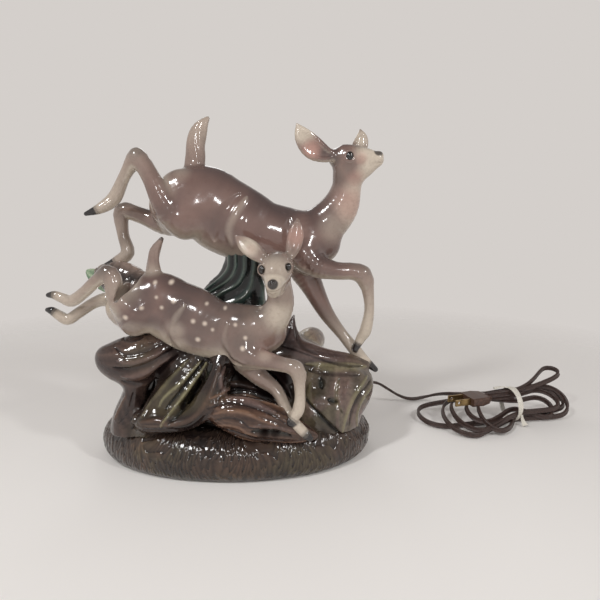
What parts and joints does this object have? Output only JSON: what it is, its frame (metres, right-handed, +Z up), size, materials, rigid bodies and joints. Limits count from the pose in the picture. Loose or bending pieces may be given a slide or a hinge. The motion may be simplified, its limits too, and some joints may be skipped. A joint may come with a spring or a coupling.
{
  "type": "television lamp",
  "caption": "Glazed ceramic television lamp: a leaping doe and fawn over driftwood on an oval plinth, with a rear light well, lamp holder, bulb and tied cord.",
  "frame": {"origin": "on the surface that the plinth stands on, under the centre of the whole outline without its cord", "axes": "+Z up, front of the lamp towards -Y, the doe runs towards +X"},
  "size_m": [0.4951, 0.1789, 0.2893],
  "materials": {
    "deer_glaze": "gloss clear glaze over airbrushed brown and cream underglaze",
    "rock_glaze": "gloss glaze, streaked mauve brown, olive and tan",
    "teal_glaze": "gloss glaze, dark teal with pale ridges",
    "lamp_brass": "satin, slightly tarnished",
    "blade_brass": "dull tarnished",
    "liner_card": "matt fibre sleeve",
    "black_phenolic": "moulded phenolic",
    "bulb_frosted_glass": "inside frosted",
    "stem_glass": "clear",
    "bulb_metal": "drawn wire and solder",
    "cord_jacket": "satin brown flat two-core cord",
    "grommet_rubber": "satin",
    "plug_phenolic": "brown moulded",
    "tie_white": "soft white tie"
  },
  "bodies": {
    "lamp": {"boulder_foot": "rock_glaze", "branch_spike": "rock_glaze", "cap_lock_nut": "lamp_brass", "centre_contact": "lamp_brass", "cord_free": "cord_jacket", "cord_grommet": "grommet_rubber", "cord_hank": "cord_jacket", "cord_tie": "tie_white", "deck_lock_nut": "lamp_brass", "doe_ear_far": "deer_glaze", "doe_ear_near": "deer_glaze", "doe_foreleg_far": "deer_glaze", "doe_foreleg_near": "deer_glaze", "doe_hind_leg_far": "deer_glaze", "doe_hind_leg_near": "deer_glaze", "doe_neck_and_head": "deer_glaze", "doe_tail": "deer_glaze", "doe_torso": "deer_glaze", "fawn_ear_left": "deer_glaze", "fawn_ear_right": "deer_glaze", "fawn_foreleg_far": "deer_glaze", "fawn_foreleg_near": "deer_glaze", "fawn_hind_leg_far": "deer_glaze", "fawn_hind_leg_near": "deer_glaze", "fawn_neck_and_head": "deer_glaze", "fawn_tail": "deer_glaze", "fawn_torso": "deer_glaze", "fore_branch": "rock_glaze", "front_log": "rock_glaze", "front_root": "rock_glaze", "lead_in_cord": "cord_jacket", "leaf_sprig": "teal_glaze", "left_boulder": "rock_glaze", "plinth": "rock_glaze", "plug_blades": "blade_brass", "plug_body": "plug_phenolic", "rear_branch": "rock_glaze", "rear_lobe": "rock_glaze", "right_stump": "rock_glaze", "rippled_bank": "rock_glaze", "rock_shell": "rock_glaze", "screw_shell": "lamp_brass", "seat_washer": "lamp_brass", "socket_cap": "lamp_brass", "socket_interior": "black_phenolic", "socket_liner": "liner_card", "socket_shell": "lamp_brass", "terminal_screws": "lamp_brass", "threaded_nipple": "lamp_brass", "wave_column": "teal_glaze"},
    "switch": {"switch_shaft": "lamp_brass", "switch_knob": "black_phenolic"},
    "bulb_seat": {"bulb_tip": "bulb_metal"},
    "bulb": {"bulb_insulator": "black_phenolic", "bulb_cap": "lamp_brass", "bulb_glass": "bulb_frosted_glass", "bulb_stem": "stem_glass", "bulb_lead_wires": "bulb_metal", "bulb_filament": "bulb_metal"}
  },
  "joints": [
    {"name": "switch_turn", "type": "hinge", "parent": "lamp", "child": "switch", "pos_m": [0.037, 0.044, 0.0524], "axis": [1, 0, 0], "continuous": true},
    {"name": "bulb_lift", "type": "slide", "parent": "lamp", "child": "bulb_seat", "axis": [0, 0, 1], "range_m": [0, 0.0254]},
    {"name": "bulb_turn", "type": "hinge", "parent": "bulb_seat", "child": "bulb", "pos_m": [0.017, 0.044, 0.0638], "axis": [0, 0, 1], "range_deg": [0, 2520]}
  ],
  "couplings": [
    {"joint": "bulb_lift", "follows": "bulb_turn", "m_per_rad": 0.0005775}
  ]
}
